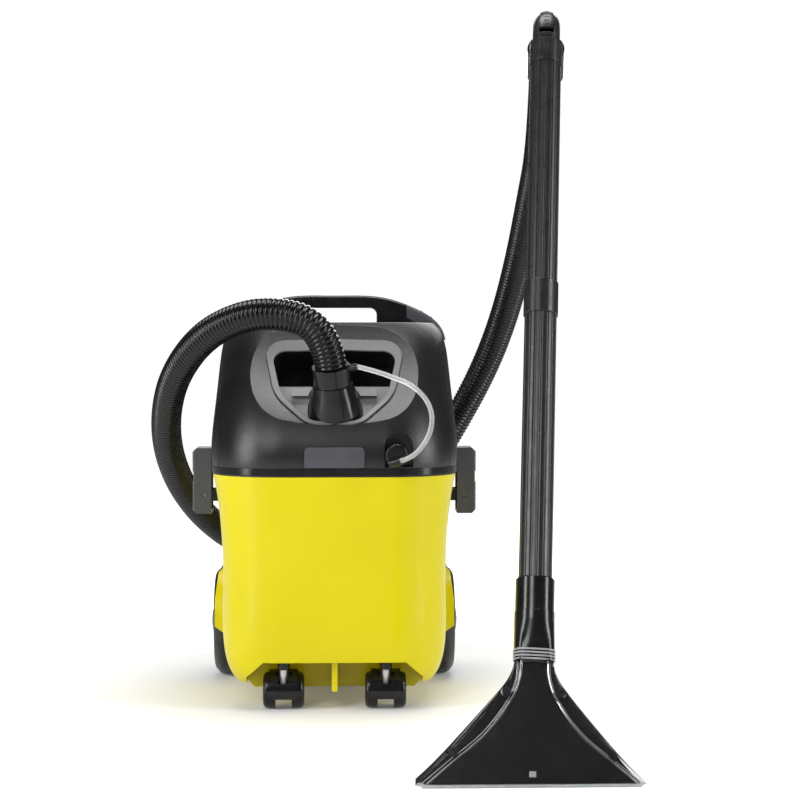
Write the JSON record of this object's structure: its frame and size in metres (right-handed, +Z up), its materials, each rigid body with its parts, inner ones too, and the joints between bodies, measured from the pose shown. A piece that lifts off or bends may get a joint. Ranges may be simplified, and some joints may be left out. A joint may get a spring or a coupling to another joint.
{
  "type": "spray extraction carpet cleaner",
  "caption": "Tub carpet cleaner on casters and wheels, with a lift-off motor head, latches, corrugated suction hose and a floor wand standing on its clear-covered nozzle.",
  "frame": {"origin": "on the floor, under the middle of the whole set's box without the hose", "axes": "+Z up, +X to the machine's right as seen from its front, +Y from the front (nozzle, casters) to the back (wheels)"},
  "size_m": [0.5548, 0.9187, 0.8305],
  "materials": {
    "yellow_shell": "glossy moulded",
    "black_textured": "fine spark texture, satin",
    "black_smooth": "satin moulded",
    "wand_plastic": "satin",
    "dark_grey": "satin",
    "mid_grey": "satin",
    "hose_black": "glossy flexible",
    "clear_plastic": "clear",
    "seal_rubber": "matt",
    "steel": "bright",
    "inner_plastic": "natural",
    "float_white": "foam"
  },
  "bodies": {
    "tub": {"tub_shell": "yellow_shell", "clean_water_tank": "inner_plastic", "tank_strainer": "inner_plastic", "latch_brackets": "black_smooth", "latch_pins": "steel", "rear_axle": "steel", "caster_sockets": "black_smooth", "hose_lower": "hose_black", "nozzle_back": "wand_plastic", "nozzle_cover": "clear_plastic", "nozzle_screws": "steel", "spray_jet": "inner_plastic", "nozzle_neck": "black_smooth", "lower_tube": "wand_plastic", "tube_sleeve": "black_smooth", "upper_tube": "wand_plastic", "handle_collar": "black_smooth", "handle_body": "black_smooth", "spray_valve": "inner_plastic", "wand_spray_pipe": "inner_plastic", "hose_wand_cuff": "black_smooth"},
    "head": {"base_plate": "black_smooth", "rim_seal": "seal_rubber", "carry_handle": "black_smooth", "front_plate": "dark_grey", "exhaust_grille": "black_smooth", "cable_gland": "black_smooth", "socket_shield": "mid_grey", "socket_well": "black_smooth", "socket_insert": "mid_grey", "hose_cuff": "black_smooth", "suction_duct": "inner_plastic", "spray_coupling": "black_smooth", "spray_tube": "clear_plastic", "hose_upper": "hose_black", "motor_housing": "inner_plastic", "motor": "steel", "pump": "inner_plastic", "float_cage": "inner_plastic", "head_screws": "steel", "switch_panels": "dark_grey", "front_cover": "black_textured", "rear_cover": "black_textured"},
    "fan": {"fan_rotor": "inner_plastic"},
    "float": {"float_ball": "float_white"},
    "trigger": {"trigger": "wand_plastic"},
    "latch_left": {"latch_left": "dark_grey"},
    "latch_right": {"latch_right": "dark_grey"},
    "rocker_left": {"rocker_left": "dark_grey"},
    "rocker_right": {"rocker_right": "dark_grey"},
    "rear_wheel_left": {"rear_wheel_left": "black_smooth", "hub_cap_left": "black_smooth"},
    "caster_left": {"caster_hood_left": "black_smooth", "caster_stem_left": "steel"},
    "caster_wheels_left": {"caster_wheels_left": "black_smooth"},
    "rear_wheel_right": {"rear_wheel_right": "black_smooth", "hub_cap_right": "black_smooth"},
    "caster_right": {"caster_hood_right": "black_smooth", "caster_stem_right": "steel"},
    "caster_wheels_right": {"caster_wheels_right": "black_smooth"}
  },
  "joints": [
    {"name": "head_lift", "type": "slide", "parent": "tub", "child": "head", "axis": [0, 0, 1], "range_m": [0, 0.09]},
    {"name": "fan_spin", "type": "hinge", "parent": "head", "child": "fan", "pos_m": [-0.0672, 0.247, 0.32], "axis": [0, 0, 1], "continuous": true},
    {"name": "float_rise", "type": "slide", "parent": "head", "child": "float", "axis": [0, 0, 1], "range_m": [0, 0.03]},
    {"name": "trigger_press", "type": "hinge", "parent": "tub", "child": "trigger", "pos_m": [0.17996, -0.04712, 0.82344], "axis": [0.9948, -0.1005, -0.0187], "range_deg": [0, 6], "stiffness_Nm_per_rad": 0.05},
    {"name": "latch_left_open", "type": "hinge", "parent": "tub", "child": "latch_left", "pos_m": [-0.2332, 0.195, 0.249], "axis": [0, -1, 0], "range_deg": [0, 28]},
    {"name": "rocker_left_tilt", "type": "hinge", "parent": "head", "child": "rocker_left", "pos_m": [-0.18386, 0.209, 0.47775], "axis": [0, 1, 0], "range_deg": [0, 8]},
    {"name": "rear_wheel_left_spin", "type": "hinge", "parent": "tub", "child": "rear_wheel_left", "pos_m": [-0.2132, 0.3, 0.0725], "axis": [1, 0, 0], "continuous": true},
    {"name": "caster_left_swivel", "type": "hinge", "parent": "tub", "child": "caster_left", "pos_m": [-0.1292, 0.037, 0.06], "axis": [0, 0, 1], "continuous": true},
    {"name": "caster_left_roll", "type": "hinge", "parent": "caster_left", "child": "caster_wheels_left", "pos_m": [-0.1292, 0.049, 0.022], "axis": [1, 0, 0], "continuous": true},
    {"name": "latch_right_open", "type": "hinge", "parent": "tub", "child": "latch_right", "pos_m": [0.0988, 0.195, 0.249], "axis": [0, 1, 0], "range_deg": [0, 28]},
    {"name": "rocker_right_tilt", "type": "hinge", "parent": "head", "child": "rocker_right", "pos_m": [0.04946, 0.209, 0.47775], "axis": [0, 1, 0], "range_deg": [0, 8]},
    {"name": "rear_wheel_right_spin", "type": "hinge", "parent": "tub", "child": "rear_wheel_right", "pos_m": [0.0788, 0.3, 0.0725], "axis": [1, 0, 0], "continuous": true},
    {"name": "caster_right_swivel", "type": "hinge", "parent": "tub", "child": "caster_right", "pos_m": [-0.0052, 0.037, 0.06], "axis": [0, 0, 1], "continuous": true},
    {"name": "caster_right_roll", "type": "hinge", "parent": "caster_right", "child": "caster_wheels_right", "pos_m": [-0.0052, 0.049, 0.022], "axis": [1, 0, 0], "continuous": true}
  ]
}
